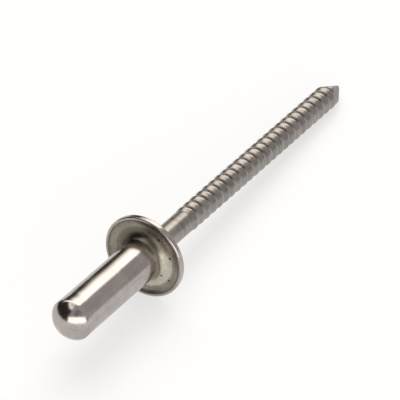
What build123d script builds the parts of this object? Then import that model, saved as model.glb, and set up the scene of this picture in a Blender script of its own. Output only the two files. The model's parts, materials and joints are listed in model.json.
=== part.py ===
from build123d import *
from math import asin, atan2, degrees, hypot, sqrt
import os

# A closed-end blind rivet with a dome head, as it is before it is set. All sizes are in millimetres.
# Both pieces are turned about the X axis, with the seat under the head at X = 0, the closed nose
# towards -X and the stem towards +X. At the end they are laid down on the head's rim and the stem.

# Barrel and closed nose
barrel_diameter = 3.2
barrel_length = 10.3
nose_diameter = 3.23
nose_length = 1.55
nose_taper = 0.5
crown_radius = 1.82
knuckle_radius = 0.4

# Dome head
head_diameter = 6.54
head_height = 1.1
rim_thickness = 0.42
rim_edge_radius = 0.1
rim_chamfer = 0.06
seat_land = 0.22
dish_depth = 0.16
dish_slope = 0.3
dish_radius = 0.35
root_radius = 0.65
lip_width = 0.25

# Inside of the barrel
bore_clearance = 0.03
nose_wall = 0.5
nose_end_wall = 0.75
chamber_corner = 0.3

# Mandrel head, break neck and shank
shank_diameter = 1.8
head_clearance = 0.03
mandrel_head_length = 0.8
mandrel_head_cone = 0.2
head_chamfer = 0.3
neck_diameter = 1.2
neck_width = 0.6
neck_flat = 0.2
neck_gap = 0.3

# Ring-grooved stem and its four-sided point
shank_above_seat = 5.43
ridge_count = 24
ridge_pitch = 0.858
ridge_diameter = 1.93
ridge_land = 0.3
ridge_rise = 0.36
groove_depth = 0.05
end_diameter = 1.83
end_length = 1.65
point_facets = 4
point_angle = 23.0
point_flat = 0.25

# How far the rivet has rolled about its own axis where it lies, in degrees
rest_roll = -23.3

# Radii and stations along the axis, worked out from the sizes above
barrel_r = barrel_diameter / 2
nose_r = nose_diameter / 2
head_r = head_diameter / 2
shank_r = shank_diameter / 2
ridge_r = ridge_diameter / 2
end_r = end_diameter / 2
bore_r = shank_r + bore_clearance
chamber_r = nose_r - nose_wall
nose_tip = -barrel_length
nose_end = nose_tip + nose_length
chamber_end = nose_tip + nose_end_wall
shoulder_start = chamber_end + mandrel_head_length
shoulder_end = shoulder_start + mandrel_head_cone
ridges_end = shank_above_seat + ridge_count * ridge_pitch
stem_end = ridges_end + end_length


def axis_arc(start, end):
    """Arc between two points of the half-section, with its centre on the axis of the rivet."""
    (x1, r1), (x2, r2) = start, end
    centre = (x2**2 + r2**2 - x1**2 - r1**2) / (2 * (x2 - x1))
    middle_x, middle_r = (x1 + x2) / 2 - centre, (r1 + r2) / 2
    reach = hypot(x1 - centre, r1) / hypot(middle_x, middle_r)
    return ThreePointArc(start, (centre + middle_x * reach, middle_r * reach), end)


def rounded(outline, corners):
    """Half-section with each listed corner, given as its point and radius, rounded."""
    for point, radius in corners:
        outline = fillet(outline.vertices().sort_by_distance(Vector(*point)).first, radius)
    return outline


def rivet_body():
    """Deep-drawn barrel with its closed nose, dome head, bore and the chamber for the mandrel head."""
    crown_rise = crown_radius - sqrt(crown_radius**2 - nose_r**2)
    knuckle = (nose_tip + crown_rise, nose_r)
    root = (dish_depth, barrel_r)
    dish_outer = (dish_depth, head_r - seat_land - dish_slope)
    land_inner = (0, head_r - seat_land)
    land_outer = (0, head_r - rim_chamfer)
    rim_front = (rim_chamfer, head_r)
    rim_back = (rim_thickness, head_r)
    lip_outer = (head_height, bore_r + lip_width)
    lip_inner = (head_height, bore_r)
    chamber_floor = (chamber_end, chamber_r)
    outline = make_face(
        [
            RadiusArc((nose_tip, 0), knuckle, crown_radius),
            Line(knuckle, (nose_end, nose_r)),
            Line((nose_end, nose_r), (nose_end + nose_taper, barrel_r)),
            Line((nose_end + nose_taper, barrel_r), root),
            Line(root, dish_outer),
            Line(dish_outer, land_inner),
            Line(land_inner, land_outer),
            Line(land_outer, rim_front),
            Line(rim_front, rim_back),
            axis_arc(rim_back, lip_outer),
            Line(lip_outer, lip_inner),
            Line(lip_inner, (shoulder_end, bore_r)),
            Line((shoulder_end, bore_r), (shoulder_start, chamber_r)),
            Line((shoulder_start, chamber_r), chamber_floor),
            Line(chamber_floor, (chamber_end, 0)),
            Line((chamber_end, 0), (nose_tip, 0)),
        ]
    )
    outline = rounded(
        outline,
        [
            (knuckle, knuckle_radius),
            (root, root_radius),
            (dish_outer, dish_radius),
            (rim_back, rim_edge_radius),
            (chamber_floor, chamber_corner),
        ],
    )
    return revolve(outline, Axis.X)


def ridges():
    """Points of the rings rolled into the stem: each rises slowly, has a short land and falls off faster."""
    points = []
    for ring in range(ridge_count):
        start = shank_above_seat + ring * ridge_pitch
        land = start + ridge_rise
        points += [(start, ridge_r - groove_depth), (land, ridge_r), (land + ridge_land, ridge_r)]
    return points

def mandrel():
    """Headed wire with its break neck, ring-grooved stem and pinch-cut point."""
    head_r_inside = chamber_r - head_clearance
    neck_start = shoulder_end + neck_gap
    neck_slope = (neck_width - neck_flat) / 2
    neck_r = neck_diameter / 2
    outline = Polyline(
        (chamber_end, 0),
        (chamber_end, head_r_inside - head_chamfer),
        (chamber_end + head_chamfer, head_r_inside),
        (shoulder_start, head_r_inside),
        (shoulder_end, shank_r),
        (neck_start, shank_r),
        (neck_start + neck_slope, neck_r),
        (neck_start + neck_slope + neck_flat, neck_r),
        (neck_start + neck_width, shank_r),
        (shank_above_seat, shank_r),
        *ridges(),
        (ridges_end, end_r),
        (stem_end, end_r),
        (stem_end, 0),
        close=True,
    )
    stem = revolve(make_face(outline), Axis.X)
    # Each pinched facet passes through an edge of the small flat on the tip
    facet = Box(
        2 * end_length + 2 * ridge_diameter,
        2 * ridge_diameter,
        ridge_diameter,
        align=(Align.CENTER, Align.CENTER, Align.MIN),
    )
    facet = Pos(stem_end, 0, point_flat / 2) * Rot(Y=point_angle) * facet
    for side in range(point_facets):
        stem -= Rot(X=side * 360 / point_facets) * facet
    return stem

def rest_tilt():
    """Slope of the axis, in degrees, when the rim of the head and the last ring touch the floor."""
    last_land = ridges_end - ridge_pitch + ridge_rise + ridge_land
    run = last_land - (rim_thickness - rim_edge_radius)
    drop = head_r - rim_edge_radius - ridge_r
    return degrees(atan2(drop, run) + asin(rim_edge_radius / hypot(run, drop)))


# Laid down on the floor, with the middle of the footprint at the origin
laid = Rot(Y=rest_tilt()) * Rot(X=rest_roll)
pieces = {"rivet_body": laid * rivet_body(), "mandrel": laid * mandrel()}
extent = Compound(list(pieces.values())).bounding_box()
to_floor = Pos(-extent.center().X, 0, -extent.min.Z)

os.makedirs("parts", exist_ok=True)
for name, piece in pieces.items():
    piece = to_floor * piece
    piece.label = name
    export_step(piece, f"parts/{name}.step")
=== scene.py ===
"""Looks of a closed-end blind rivet on a pale floor: turned meshes, finishes, lamps and camera."""

import json
import logging
import math
from dataclasses import dataclass

import bmesh
import bpy
from mathutils import Matrix, Vector


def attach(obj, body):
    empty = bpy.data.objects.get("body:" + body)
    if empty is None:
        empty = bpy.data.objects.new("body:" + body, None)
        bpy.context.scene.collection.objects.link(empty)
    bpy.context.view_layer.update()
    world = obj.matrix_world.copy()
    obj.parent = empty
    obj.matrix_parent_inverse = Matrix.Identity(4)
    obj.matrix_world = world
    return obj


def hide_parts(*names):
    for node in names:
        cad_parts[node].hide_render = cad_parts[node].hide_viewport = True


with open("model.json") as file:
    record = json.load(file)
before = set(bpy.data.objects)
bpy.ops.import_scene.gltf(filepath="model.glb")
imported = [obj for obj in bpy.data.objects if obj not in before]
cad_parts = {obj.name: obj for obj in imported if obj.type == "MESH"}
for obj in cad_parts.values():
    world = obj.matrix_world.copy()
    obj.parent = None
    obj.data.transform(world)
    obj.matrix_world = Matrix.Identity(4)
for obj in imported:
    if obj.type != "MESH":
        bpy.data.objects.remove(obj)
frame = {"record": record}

log = logging.getLogger("rivet")
MM = 0.001

# How far the rivet has rolled about its own axis where it lies, in degrees, as in the solids
REST_ROLL = -23.3


# Where the rivet lies


@dataclass(frozen=True)
class RivetAxis:
    """The rivet's own axis: the centre of the seat, the way to the stem's point, and the roll about it."""

    seat: Vector
    along: Vector
    roll: float

    @classmethod
    def of_record(cls, record: dict, roll: float) -> "RivetAxis":
        """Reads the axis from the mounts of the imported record.

        Args:
            record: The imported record.
            roll: How far the rivet has rolled about its own axis, in degrees.

        Returns:
            The axis in the row frame, in metres.
        """
        mounts = {mount["name"]: mount for mount in record["mounts"]}
        along = Vector(mounts["stem"]["axis"]).normalized()
        on_axis = Vector(mounts["stem"]["pos_m"])
        on_seat = Vector(mounts["seat"]["pos_m"])
        return cls(on_axis + along * (on_seat - on_axis).dot(along), along, math.radians(roll))

    def matrix(self) -> Matrix:
        """The turn and shift from the rivet's own frame, with X along its axis, to the row frame."""
        side = Vector((0, 1, 0))
        up = self.along.cross(side)
        turn = Matrix((self.along, side, up)).transposed().to_4x4()
        return Matrix.Translation(self.seat) @ turn @ Matrix.Rotation(self.roll, 4, "X")


# Turned shapes


class Outline:
    """Half-section of a turned piece: points along the axis and out from it, in millimetres."""

    def __init__(self, along: float, out: float) -> None:
        """Starts the half-section at a point."""
        self.points: list[Vector] = [Vector((along, out))]
        self.radii: list[float] = [0.0]

    def line(self, along: float, out: float, rounded: float = 0.0) -> "Outline":
        """Goes straight to a point, whose corner may be rounded later.

        Args:
            along: Place along the axis.
            out: Distance from the axis.
            rounded: Radius of the corner at this point.

        Returns:
            The outline itself, so that calls can follow each other.
        """
        self.points.append(Vector((along, out)))
        self.radii.append(rounded)
        return self

    def arc(
        self, along: float, out: float, centre: float, steps: int, rounded: float = 0.0
    ) -> "Outline":
        """Goes to a point on an arc whose centre is on the axis.

        Args:
            along: Place of the arc's end along the axis.
            out: Its distance from the axis.
            centre: Place of the arc's centre along the axis.
            steps: Number of edges in the arc.
            rounded: Radius of the corner at the arc's end.

        Returns:
            The outline itself.
        """
        start = self.points[-1] - Vector((centre, 0))
        end = Vector((along - centre, out))
        first = math.atan2(start.y, start.x)
        last = math.atan2(end.y, end.x)
        for step in range(1, steps):
            angle = first + (last - first) * step / steps
            reach = start.length + (end.length - start.length) * step / steps
            self.line(centre + reach * math.cos(angle), reach * math.sin(angle))
        return self.line(along, out, rounded)

    def rounded(self, steps: int = 7) -> list[Vector]:
        """The half-section's points with each corner that has a radius rounded.

        Args:
            steps: Number of edges in a rounded corner.

        Returns:
            The points in order.
        """
        done: list[Vector] = []
        rest = list(zip(self.points, self.radii))
        while rest:
            corner, radius = rest.pop(0)
            if not radius or not rest:
                done.append(corner)
                continue
            back = (done[-1] - corner).normalized()
            ahead = (rest[0][0] - corner).normalized()
            turn = math.pi - back.angle(ahead)
            reach = radius * math.tan(turn / 2)
            while len(done) > 1 and (done[-1] - corner).length < reach:
                done.pop()
            while len(rest) > 1 and (rest[0][0] - corner).length < reach:
                rest.pop(0)
            start = corner + (done[-1] - corner).normalized() * reach
            end = corner + (rest[0][0] - corner).normalized() * reach
            weight = math.cos(turn / 2)
            for step in range(steps + 1):
                t = step / steps
                shares = ((1 - t) ** 2, 2 * t * (1 - t) * weight, t**2)
                total = sum(shares)
                done.append((start * shares[0] + corner * shares[1] + end * shares[2]) / total)
        return done


def turned(points: list[Vector], steps: int, closed: bool) -> bmesh.types.BMesh:
    """Spins a half-section about the X axis.

    Args:
        points: The half-section, in millimetres.
        steps: Number of faces round the axis.
        closed: Whether its last point joins its first.

    Returns:
        The turned mesh, in metres, open nowhere.
    """
    mesh = bmesh.new()
    ring = [mesh.verts.new((point.x * MM, 0, point.y * MM)) for point in points]
    edges = [mesh.edges.new(pair) for pair in zip(ring, ring[1:])]
    if closed:
        edges.append(mesh.edges.new((ring[-1], ring[0])))
    bmesh.ops.spin(
        mesh,
        geom=ring + edges,
        cent=(0, 0, 0),
        axis=(1, 0, 0),
        dvec=(0, 0, 0),
        angle=2 * math.pi,
        steps=steps,
        use_merge=True,
    )
    bmesh.ops.remove_doubles(mesh, verts=mesh.verts, dist=0.0002 * MM)
    bmesh.ops.dissolve_degenerate(mesh, edges=mesh.edges, dist=0.0001 * MM)
    bmesh.ops.recalc_face_normals(mesh, faces=mesh.faces)
    return mesh


def piece_of(mesh: bmesh.types.BMesh, name: str, place: Matrix, crisp: float) -> bpy.types.Object:
    """Makes an object of a mesh, laid in the row frame, with smooth faces and crisp corners.

    Args:
        mesh: The mesh in the rivet's own frame, which this frees.
        name: The object's name.
        place: The turn and shift to the row frame.
        crisp: Angle in degrees from which an edge stays sharp.

    Returns:
        The new object, at the origin.
    """
    mesh.transform(place)
    for face in mesh.faces:
        face.smooth = True
    for edge in mesh.edges:
        edge.smooth = not (edge.is_manifold and edge.calc_face_angle(0) > math.radians(crisp))
    data = bpy.data.meshes.new(name)
    mesh.to_mesh(data)
    mesh.free()
    piece = bpy.data.objects.new(name, data)
    bpy.context.scene.collection.objects.link(piece)
    return piece


@dataclass
class RivetBody:
    """Deep-drawn barrel with its closed nose, dome head, bore and chamber. Sizes are in millimetres."""

    axis: RivetAxis
    barrel: float = 3.2
    length: float = 10.3
    nose: float = 3.23
    nose_length: float = 1.55
    nose_taper: float = 0.5
    crown: float = 1.82
    knuckle: float = 0.4
    head: float = 6.54
    head_height: float = 1.1
    rim: float = 0.42
    rim_edge: float = 0.1
    rim_chamfer: float = 0.06
    land: float = 0.22
    dish: float = 0.16
    dish_slope: float = 0.3
    dish_curve: float = 0.6
    root: float = 0.65
    lip: float = 0.25
    bore: float = 1.86
    nose_wall: float = 0.5
    end_wall: float = 0.75
    shoulder: float = 0.8
    shoulder_cone: float = 0.2
    floor_corner: float = 0.3
    steps: int = 240

    def outline(self) -> list[Vector]:
        """The closed half-section, from the nose round the head and back through the bore."""
        tip = -self.length
        nose_r = self.nose / 2
        head_r = self.head / 2
        centre = tip + self.crown
        rise = self.crown - math.sqrt(self.crown**2 - nose_r**2)
        floor = tip + self.end_wall
        chamber_r = nose_r - self.nose_wall
        half = Outline(tip, 0)
        half.arc(tip + rise, nose_r, centre, 40, self.knuckle)
        half.line(tip + self.nose_length, nose_r, 0.6)
        half.line(tip + self.nose_length + self.nose_taper, self.barrel / 2, 0.6)
        half.line(self.dish, self.barrel / 2, self.root)
        half.line(self.dish, head_r - self.land - self.dish_slope, self.dish_curve)
        half.line(0, head_r - self.land, 0.2)
        half.line(0, head_r - self.rim_chamfer, 0.05)
        half.line(self.rim_chamfer, head_r, 0.05)
        half.line(self.rim, head_r, self.rim_edge)
        lip_r = self.bore / 2 + self.lip
        dome_centre = self.centre_of(self.rim, head_r, self.head_height, lip_r)
        half.arc(self.head_height, lip_r, dome_centre, 30, 0.06)
        half.line(self.head_height, self.bore / 2, 0.05)
        half.line(floor + self.shoulder + self.shoulder_cone, self.bore / 2)
        half.line(floor + self.shoulder, chamber_r)
        half.line(floor, chamber_r, self.floor_corner)
        half.line(floor, 0)
        return half.rounded()

    @staticmethod
    def centre_of(along: float, out: float, end_along: float, end_out: float) -> float:
        """Place on the axis of the centre of the arc through two points."""
        return (end_along**2 + end_out**2 - along**2 - out**2) / (2 * (end_along - along))

    def build(self) -> bpy.types.Object:
        """Makes the body as one closed shell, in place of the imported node."""
        mesh = turned(self.outline(), self.steps, closed=True)
        return piece_of(mesh, "rivet_body_turned", self.axis.matrix(), crisp=40)


@dataclass
class Mandrel:
    """Headed wire with its break neck, ring-grooved stem and pinch-cut point. Sizes are in millimetres."""

    axis: RivetAxis
    shank: float = 1.8
    head: float = 2.17
    head_end: float = -9.55
    head_chamfer: float = 0.3
    shoulder: float = 0.8
    shoulder_cone: float = 0.2
    neck: float = 1.2
    neck_gap: float = 0.3
    neck_width: float = 0.6
    rings_start: float = 5.43
    ring_count: int = 24
    pitch: float = 0.858
    ridge: float = 1.93
    crest: float = 0.62
    groove: float = 0.075
    bite: float = 0.035
    bite_at: float = 0.08
    bite_width: float = 0.055
    ring_steps: int = 20
    end: float = 1.83
    end_length: float = 1.65
    facets: int = 4
    facet_angle: float = 23.0
    flat: float = 0.25
    steps: int = 144

    def outline(self) -> list[Vector]:
        """The half-section from the hidden head to the end of the stem, open along the axis."""
        shoulder_end = self.head_end + self.shoulder + self.shoulder_cone
        neck_start = shoulder_end + self.neck_gap
        half = Outline(self.head_end, 0)
        half.line(self.head_end, self.head / 2 - self.head_chamfer)
        half.line(self.head_end + self.head_chamfer, self.head / 2)
        half.line(self.head_end + self.shoulder, self.head / 2)
        half.line(shoulder_end, self.shank / 2)
        half.line(neck_start, self.shank / 2)
        half.line(neck_start + self.neck_width / 3, self.neck / 2)
        half.line(neck_start + self.neck_width * 2 / 3, self.neck / 2)
        half.line(neck_start + self.neck_width, self.shank / 2)
        half.line(self.rings_start, self.shank / 2)
        for step in range(1, self.ring_count * self.ring_steps):
            turn = step / self.ring_steps
            half.line(self.rings_start + turn * self.pitch, self.ridge / 2 - self.hollow(turn % 1))
        rings_end = self.rings_start + self.ring_count * self.pitch
        half.line(rings_end, self.end / 2)
        half.line(rings_end + self.end_length, self.end / 2)
        half.line(rings_end + self.end_length, 0)
        return half.rounded(4)

    def hollow(self, share: float) -> float:
        """How far the stem's surface lies under its crests within one ring.

        Args:
            share: Place within the ring, from 0 at its start to 1 at its end.

        Returns:
            The depth in millimetres: a shallow wave, with a narrow cut in it where the roller's edge bit.
        """
        skew = math.log(0.5) / math.log(self.crest)
        wave = math.cos(math.pi * share**skew) ** 2
        cut = math.exp(-(((share - self.bite_at) / self.bite_width) ** 2))
        return self.groove * wave + self.bite * cut

    def build(self) -> bpy.types.Object:
        """Makes the mandrel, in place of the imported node."""
        mesh = turned(self.outline(), self.steps, closed=False)
        tip = self.rings_start + self.ring_count * self.pitch + self.end_length
        slope = math.radians(self.facet_angle)
        for side in range(self.facets):
            turn = Matrix.Rotation(side * 2 * math.pi / self.facets, 3, "X")
            bmesh.ops.bisect_plane(
                mesh,
                geom=mesh.verts[:] + mesh.edges[:] + mesh.faces[:],
                plane_co=turn @ Vector((tip * MM, 0, self.flat / 2 * MM)),
                plane_no=turn @ Vector((math.sin(slope), 0, math.cos(slope))),
                clear_outer=True,
            )
            bmesh.ops.remove_doubles(mesh, verts=mesh.verts, dist=0.0005 * MM)
            rim = [edge for edge in mesh.edges if edge.is_boundary]
            bmesh.ops.contextual_create(mesh, geom=rim)
        bmesh.ops.dissolve_degenerate(mesh, edges=mesh.edges, dist=0.0002 * MM)
        bmesh.ops.recalc_face_normals(mesh, faces=mesh.faces)
        return piece_of(mesh, "mandrel_turned", self.axis.matrix(), crisp=28)


# Shader nodes


class Channel:
    """A number that a shader node gives, ready for arithmetic."""

    def __init__(self, desk: "Desk", socket: bpy.types.NodeSocket) -> None:
        """Wraps a node's output on its desk."""
        self.desk = desk
        self.socket = socket

    def math(self, operation: str, other: "Channel | float" = 0.0, swapped: bool = False) -> "Channel":
        """Adds a Math node.

        Args:
            operation: The node's operation.
            other: The second value.
            swapped: Whether the other value comes first.

        Returns:
            The node's result.
        """
        first, second = (other, self) if swapped else (self, other)
        return self.desk.number("ShaderNodeMath", {"operation": operation}, {0: first, 1: second})

    def __add__(self, other: "Channel | float") -> "Channel":
        """The sum."""
        return self.math("ADD", other)

    __radd__ = __add__

    def __mul__(self, other: "Channel | float") -> "Channel":
        """The product."""
        return self.math("MULTIPLY", other)

    __rmul__ = __mul__

    def __sub__(self, other: "Channel | float") -> "Channel":
        """The difference."""
        return self.math("SUBTRACT", other)

    def __rsub__(self, other: float) -> "Channel":
        """The difference from a number."""
        return self.math("SUBTRACT", other, swapped=True)

    def __truediv__(self, other: "Channel | float") -> "Channel":
        """The quotient."""
        return self.math("DIVIDE", other)

    def ramp(self, start: float, end: float) -> "Channel":
        """Goes smoothly from 0 at start to 1 at end."""
        settings = {"interpolation_type": "SMOOTHSTEP"}
        return self.desk.number("ShaderNodeMapRange", settings, {0: self, 1: start, 2: end, 3: 0.0, 4: 1.0})


class Desk:
    """A node tree being laid out."""

    def __init__(self, tree: bpy.types.NodeTree) -> None:
        """Clears the tree and starts on it."""
        self.tree = tree
        tree.nodes.clear()

    def node(self, kind: str, settings: dict | None = None, values: dict | None = None) -> bpy.types.Node:
        """Adds a node.

        Args:
            kind: The node's type.
            settings: Its own settings, which are set first; a ramp's stops are a list of place and colour.
            values: A value, channel or output for each input, by name or number.

        Returns:
            The node.
        """
        node = self.tree.nodes.new(kind)
        for name, value in (settings or {}).items():
            setattr(node, name, value)
        for key, value in (values or {}).items():
            source = value.socket if isinstance(value, Channel) else value
            if isinstance(source, bpy.types.NodeSocket):
                self.tree.links.new(source, node.inputs[key])
            else:
                node.inputs[key].default_value = source
        return node

    def number(self, kind: str, settings: dict | None, values: dict, output: int | str = 0) -> Channel:
        """Adds a node and wraps one of its outputs as a number."""
        return Channel(self, self.node(kind, settings, values).outputs[output])

    def mixed(
        self, share: Channel | float, under: tuple | bpy.types.NodeSocket, over: tuple | bpy.types.NodeSocket
    ) -> bpy.types.NodeSocket:
        """Mixes two colours.

        Args:
            share: How much of the upper colour shows.
            under: The lower colour.
            over: The upper colour.

        Returns:
            The mixed colour's socket.
        """
        below, above = (
            value if isinstance(value, bpy.types.NodeSocket) else (*value, 1.0) for value in (under, over)
        )
        return self.node("ShaderNodeMix", {"data_type": "RGBA"}, {0: share, 6: below, 7: above}).outputs[2]

    def moved(
        self, vector: bpy.types.NodeSocket, scale: tuple, shift: tuple = (0.0, 0.0, 0.0)
    ) -> bpy.types.NodeSocket:
        """Scales a vector and then shifts it."""
        values = {0: vector, "Scale": scale, "Location": shift}
        return self.node("ShaderNodeMapping", None, values).outputs[0]

    def noise(self, vector: bpy.types.NodeSocket, scale: float, detail: float) -> Channel:
        """Soft noise from 0 to 1."""
        return self.number("ShaderNodeTexNoise", None, {"Vector": vector, "Scale": scale, "Detail": detail})


# Finishes

# Colours that lie over the bare steel; the first three are painted reflection and painted shade on the head's
# underside
UNDERSIDE_PAINTED_SHADE = (0.16, 0.145, 0.115)
UNDERSIDE_PAINTED_REFLECTION = (0.60, 0.57, 0.47)
DEEP_PAINTED_SHADE = (0.085, 0.07, 0.05)
SHEARED_FACE = (0.22, 0.21, 0.205)
PIT_FLOOR = (0.05, 0.045, 0.03)


@dataclass(frozen=True)
class Spot:
    """A small pit: its place in the rivet's own frame and how far it reaches, in millimetres."""

    along: float
    side: float
    up: float
    size: float


# Pits in the underside of the head
HEAD_PITS = (
    Spot(0.07, -0.78, 1.77, 0.11),
    Spot(0.16, -1.78, 1.31, 0.14),
    Spot(0.16, -2.26, -0.21, 0.14),
    Spot(0.04, -1.08, -1.54, 0.11),
    Spot(0.16, -1.5, -2.01, 0.11),
)


@dataclass(frozen=True)
class Steel:
    """Polished stainless steel, in the rivet's own frame, in millimetres."""

    name: str
    axis: RivetAxis
    colour: tuple[float, float, float]
    shade: tuple[float, float, float]
    roughness: float
    streaks: float
    head_tint: float = 0.0
    striations: float = 0.0
    cut_end: float = 0.0
    spots: tuple[Spot, ...] = ()

    def own_frame(self, desk: Desk) -> bpy.types.NodeSocket:
        """Object coordinates turned into the rivet's own frame, in millimetres."""
        place = self.axis.matrix()
        seen = desk.node("ShaderNodeTexCoord").outputs["Object"]
        values = {0: seen, "Location": place.translation, "Rotation": place.to_euler(), "Scale": (MM, MM, MM)}
        return desk.node("ShaderNodeMapping", {"vector_type": "TEXTURE"}, values).outputs[0]

    def underside(
        self,
        desk: Desk,
        steel: bpy.types.NodeSocket,
        under_head: Channel,
        out: Channel,
        up: Channel,
        noises: tuple[Channel, Channel],
    ) -> bpy.types.NodeSocket:
        """Paints light and shade on the head's underside over the steel: a painted reflection, pale on the
        lower side and dark above, painted shade at the barrel's root and a painted dark line near the rim.

        Args:
            desk: The node tree.
            steel: The bare steel's colour.
            under_head: Where the underside of the head is, from 0 to 1.
            out: Distance from the axis.
            up: Height in the rivet's own frame.
            noises: The coarse and the fine noise that break it up.

        Returns:
            The colour with the underside's painted light and shade laid over it.
        """
        cloud, grit = noises
        # Painted reflection: pale on the lower side of the inner underside, dark on its upper side and on the
        # outer ring, broken up by noise
        inner = out.ramp(2.55, 2.3)
        lit = inner * up.ramp(0.7, -0.5) * 0.85 + (1.0 - inner) * 0.22
        pale = lit + (grit - 0.5) * 0.7 + (cloud - 0.5) * 0.6
        colour = desk.mixed(under_head, steel, desk.mixed(pale, UNDERSIDE_PAINTED_SHADE, UNDERSIDE_PAINTED_REFLECTION))
        # Painted shade in the crease at the barrel's root, darker on the upper side, and a painted dark
        # reflection line near the rim
        root_painted_shade = under_head * out.ramp(2.4, 1.65) * up.ramp(-0.2, 1.3) * (grit * 0.5 + 0.7)
        rim_painted_shade = under_head * out.ramp(2.9, 3.0) * out.ramp(3.1, 3.02) * (cloud + 0.1)
        return desk.mixed(root_painted_shade.math("MAXIMUM", rim_painted_shade) * 0.95, colour, DEEP_PAINTED_SHADE)

    def pitted(self, desk: Desk, here: bpy.types.NodeSocket) -> Channel | float:
        """Where the pits are.

        Args:
            desk: The node tree.
            here: The place in the rivet's own frame.

        Returns:
            1 in a pit and 0 outside, or the number 0 for a finish without pits.
        """
        depth: Channel | float = 0.0
        for spot in self.spots:
            centre = (spot.along, spot.side, spot.up)
            gap = desk.node("ShaderNodeVectorMath", {"operation": "DISTANCE"}, {0: here, 1: centre})
            near = Channel(desk, gap.outputs["Value"]).ramp(spot.size, spot.size * 0.45)
            depth = near.math("MAXIMUM", depth)
        return depth

    def material(self) -> bpy.types.Material:
        """Lays out the nodes of the finish."""
        material = bpy.data.materials.new(self.name)
        material.use_nodes = True
        desk = Desk(material.node_tree)
        here = self.own_frame(desk)
        parts = desk.node("ShaderNodeSeparateXYZ", None, {0: here})
        along, side, up = (Channel(desk, parts.outputs[axis]) for axis in range(3))
        out = (side * side + up * up).math("SQRT")
        # Marks of drawing along the axis, cloudy and fine unevenness, and marks of turning round the axis
        drawn = desk.noise(desk.moved(here, (0.1, 3.0, 3.0)), 2.2, 3.0)
        fine = desk.noise(desk.moved(here, (0.06, 9.0, 9.0), (3.0, 0.0, 0.0)), 2.0, 2.0)
        marks = drawn * 0.6 + fine * 0.4
        cloud = desk.noise(here, 0.9, 3.0)
        grit = desk.noise(here, 6.0, 3.0)
        turned_at = desk.node("ShaderNodeCombineXYZ", None, {0: along * 5, 1: out * 5, 2: 0.0}).outputs[0]
        rings = desk.noise(turned_at, 1.0, 3.0)
        # Where the underside of the head, the sheared point and the pits are
        near_seat = along.ramp(-0.5, 0.02) * along.ramp(0.35, 0.25)
        # head_tint turns on the underside's painted reflection and shade, its extra roughness and its turning
        # marks
        under_head = near_seat * out.ramp(3.16, 3.04) * self.head_tint
        sheared = (along * self.cut_end).ramp(25.7, 25.95) * out.ramp(0.9, 0.85)
        pits = self.pitted(desk, here)
        grain = (marks - 0.5) * self.streaks + (cloud - 0.5) * 0.8
        tint = grain + (rings - 0.5) * self.striations + 0.5
        colour = desk.mixed(tint, self.shade, self.colour)
        # Painted reflection and painted shade on the head's underside
        colour = self.underside(desk, colour, under_head, out, up, (cloud, grit))
        colour = desk.mixed(sheared * 0.7, colour, SHEARED_FACE)
        colour = desk.mixed(pits, colour, PIT_FLOOR)
        uneven = (cloud - 0.5) * 0.14 + (marks - 0.5) * 0.12
        rough = uneven + self.roughness + under_head * 0.2 + sheared * 0.15 + pits * 0.3
        turning = under_head * 0.0015 + self.striations * 0.008
        height = marks * 0.0026 + grit * 0.0009 + rings * turning - pits * 0.02
        bump = desk.node("ShaderNodeBump", None, {"Strength": 1.0, "Distance": MM, "Height": height})
        values = {
            "Base Color": colour,
            "Metallic": 1.0,
            "Roughness": rough,
            "Normal": bump.outputs[0],
        }
        steel = desk.node("ShaderNodeBsdfPrincipled", None, values)
        desk.node("ShaderNodeOutputMaterial", None, {0: steel.outputs[0]})
        return material

    def dress(self, piece: bpy.types.Object) -> None:
        """Gives the piece this finish."""
        piece.data.materials.append(self.material())


# Floor, lamps, world and camera


@dataclass(frozen=True)
class Softbox:
    """A flat lamp that looks at the rivet from a heading and a height in degrees; sizes are in metres."""

    name: str
    heading: float
    height: float
    distance: float
    width: float
    tall: float
    level: float
    colour: tuple[float, float, float] = (1.0, 1.0, 1.0)
    mirrored: bool = True

    def place(self, target: Vector) -> bpy.types.Object:
        """Hangs the lamp so that its face looks at the target.

        Args:
            target: The point that it looks at, in metres.

        Returns:
            The lamp, whose level is the radiance of its face.
        """
        lamp = bpy.data.lights.new(self.name, "AREA")
        lamp.shape = "RECTANGLE"
        lamp.size = self.width
        lamp.size_y = self.tall
        lamp.energy = self.level * math.pi * self.width * self.tall
        lamp.color = self.colour
        away = direction(self.heading, self.height)
        holder = bpy.data.objects.new(self.name, lamp)
        holder.location = target + away * self.distance
        holder.rotation_euler = away.to_track_quat("Z", "Y").to_euler()
        holder.visible_glossy = self.mirrored
        bpy.context.scene.collection.objects.link(holder)
        return holder


def direction(heading: float, height: float) -> Vector:
    """The unit vector to a heading, from +X towards +Y, and a height over the floor, in degrees."""
    flat = math.cos(math.radians(height))
    turn = math.radians(heading)
    return Vector((flat * math.cos(turn), flat * math.sin(turn), math.sin(math.radians(height))))


@dataclass(frozen=True)
class PhotoCamera:
    """The photograph's camera, placed from where it sees the centre of the rivet's seat, in millimetres."""

    heading: float = 32.42
    dip: float = 39.557
    right: float = -4.118
    down: float = 4.139
    ahead: float = 268.26
    lens: float = 334.2

    def place(self, seat: Vector) -> bpy.types.Object:
        """Stands the camera level and makes it the scene's camera.

        Args:
            seat: Centre of the rivet's seat, in metres.

        Returns:
            The camera.
        """
        look = direction(self.heading, -self.dip)
        right = look.cross(Vector((0, 0, 1))).normalized()
        up = right.cross(look)
        lens = bpy.data.cameras.new("photo_camera")
        lens.lens = self.lens
        lens.sensor_width = 36
        lens.clip_start = 0.01
        lens.clip_end = 50
        camera = bpy.data.objects.new("photo_camera", lens)
        shift = right * self.right - up * self.down + look * self.ahead
        turn = Matrix((right, up, -look)).transposed().to_4x4()
        camera.matrix_world = Matrix.Translation(seat - shift * MM) @ turn
        bpy.context.scene.collection.objects.link(camera)
        bpy.context.scene.camera = camera
        return camera


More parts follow.
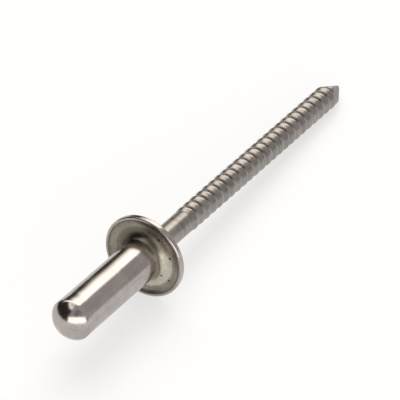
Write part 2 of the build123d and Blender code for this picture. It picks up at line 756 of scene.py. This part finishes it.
@dataclass(frozen=True)
class Studio:
    """Pale floor, softboxes and the surroundings that the steel mirrors."""

    floor_side: float = 4.0
    floor_colour: tuple[float, float, float] = (0.86, 0.86, 0.85)
    floor_white: float = 0.64
    wall: float = 0.56
    camera_side: float = 0.3
    dark: float = 0.04
    screen: float = 3.1
    screen_edge: float = -9.0
    screen_middle: float = 15.0
    camera_heading: float = -140.0
    camera_height: float = 45.0
    softboxes: tuple[Softbox, ...] = (
        Softbox(
            "overhead_softbox",
            heading=20.0,
            height=62.0,
            distance=1.2,
            width=1.1,
            tall=1.5,
            level=1.0,
            mirrored=False,
        ),
        Softbox(
            "front_softbox",
            heading=-148.0,
            height=9.0,
            distance=0.9,
            width=1.5,
            tall=0.64,
            level=2.3,
            colour=(1.0, 0.97, 0.93),
        ),
    )

    def lay_floor(self) -> None:
        """Lays a pale matt floor under the rivet."""
        mesh = bmesh.new()
        bmesh.ops.create_grid(mesh, x_segments=1, y_segments=1, size=self.floor_side / 2)
        floor = piece_of(mesh, "studio_floor", Matrix.Identity(4), crisp=30)
        material = bpy.data.materials.new("pale_floor")
        material.use_nodes = True
        material.cycles.emission_sampling = "NONE"
        desk = Desk(material.node_tree)
        values = {"Base Color": (*self.floor_colour, 1.0), "Roughness": 0.7, "Specular IOR Level": 0.2}
        matt = desk.node("ShaderNodeBsdfPrincipled", None, values)
        rays = desk.node("ShaderNodeLightPath")
        seen = Channel(desk, rays.outputs["Is Camera Ray"])
        for kind in ("Is Glossy Ray", "Is Transmission Ray"):
            seen = seen.math("MAXIMUM", Channel(desk, rays.outputs[kind]))
        white = desk.node("ShaderNodeEmission", None, {"Color": (1.0, 1.0, 1.0, 1.0), "Strength": 1.0})
        shares = {0: seen * self.floor_white, 1: matt.outputs[0], 2: white.outputs[0]}
        mixed = desk.node("ShaderNodeMixShader", None, shares)
        desk.node("ShaderNodeOutputMaterial", None, {0: mixed.outputs[0]})
        floor.data.materials.append(material)

    @staticmethod
    def towards(desk: Desk, way: bpy.types.NodeSocket, aim: Vector) -> Channel:
        """How nearly a direction points along another, from -1 to 1."""
        product = desk.node("ShaderNodeVectorMath", {"operation": "DOT_PRODUCT"}, {0: way, 1: aim})
        return Channel(desk, product.outputs["Value"])

    def surround(self) -> None:
        """Makes the world: grey walls, dimmer round the camera, and a dark side with a screen over it."""
        world = bpy.data.worlds.new("studio_surroundings")
        bpy.context.scene.world = world
        world.use_nodes = True
        desk = Desk(world.node_tree)
        way = desk.node("ShaderNodeTexCoord").outputs["Generated"]
        parts = desk.node("ShaderNodeSeparateXYZ", None, {0: way})
        height = Channel(desk, parts.outputs[2])
        behind = self.towards(desk, way, direction(self.screen_edge + 90.0, 0.0))
        aside = self.towards(desk, way, direction(self.camera_heading, self.camera_height))
        wall = (self.wall, self.wall * 0.96, self.wall * 0.95)
        walls = desk.mixed(aside.ramp(0.93, 0.98), wall, (self.camera_side,) * 3)
        far_side = behind.ramp(-0.01, 0.03)
        gloom = desk.mixed(far_side, walls, (self.dark, self.dark * 0.85, self.dark * 0.7))
        ahead = self.towards(desk, way, direction(self.screen_middle, 0.0))
        reach = ahead.ramp(0.15, 0.5).math("MAXIMUM", height.ramp(0.78, 0.88))
        overhead = 1.0 - height.ramp(0.8, 0.95) * 0.6
        glow = far_side * height.ramp(0.3, 0.66) * reach * overhead
        grey = desk.mixed(glow, gloom, (self.screen, self.screen * 0.95, self.screen * 0.88))
        back = desk.node("ShaderNodeBackground", None, {0: grey, 1: 1.0})
        desk.node("ShaderNodeOutputWorld", None, {0: back.outputs[0]})

    def build(self, target: Vector) -> None:
        """Lays the floor, hangs the lamps and makes the world, with the lamps looking at the target."""
        bpy.context.scene.view_settings.view_transform = "Standard"
        self.lay_floor()
        self.surround()
        for softbox in self.softboxes:
            softbox.place(target)
            log.info("lamp %s", softbox.name)


def main() -> None:
    """Builds the rivet's visible pieces, the floor, the lamps and the camera, and logs each piece's face
    count.
    """
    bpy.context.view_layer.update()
    axis = RivetAxis.of_record(frame["record"], roll=REST_ROLL)
    body = RivetBody(axis).build()
    barrel_finish = Steel(
        "body_stainless",
        axis,
        colour=(0.54, 0.50, 0.475),
        shade=(0.27, 0.243, 0.234),
        roughness=0.18,
        streaks=1.1,
        head_tint=1.0,
        spots=HEAD_PITS,
    )
    barrel_finish.dress(body)
    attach(body, "root")
    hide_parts("rivet_body")
    mandrel = Mandrel(axis).build()
    stem_finish = Steel(
        "mandrel_stainless",
        axis,
        colour=(0.39, 0.36, 0.335),
        shade=(0.18, 0.165, 0.155),
        roughness=0.29,
        streaks=0.8,
        striations=1.0,
        cut_end=1.0,
    )
    stem_finish.dress(mandrel)
    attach(mandrel, "root")
    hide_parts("mandrel")
    Studio().build(axis.seat)
    PhotoCamera().place(axis.seat)
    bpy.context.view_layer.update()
    for piece in (body, mandrel):
        log.info("%s: %d faces", piece.name, len(piece.data.polygons))


if __name__ == "__main__":
    logging.basicConfig(level=logging.INFO)
    main()
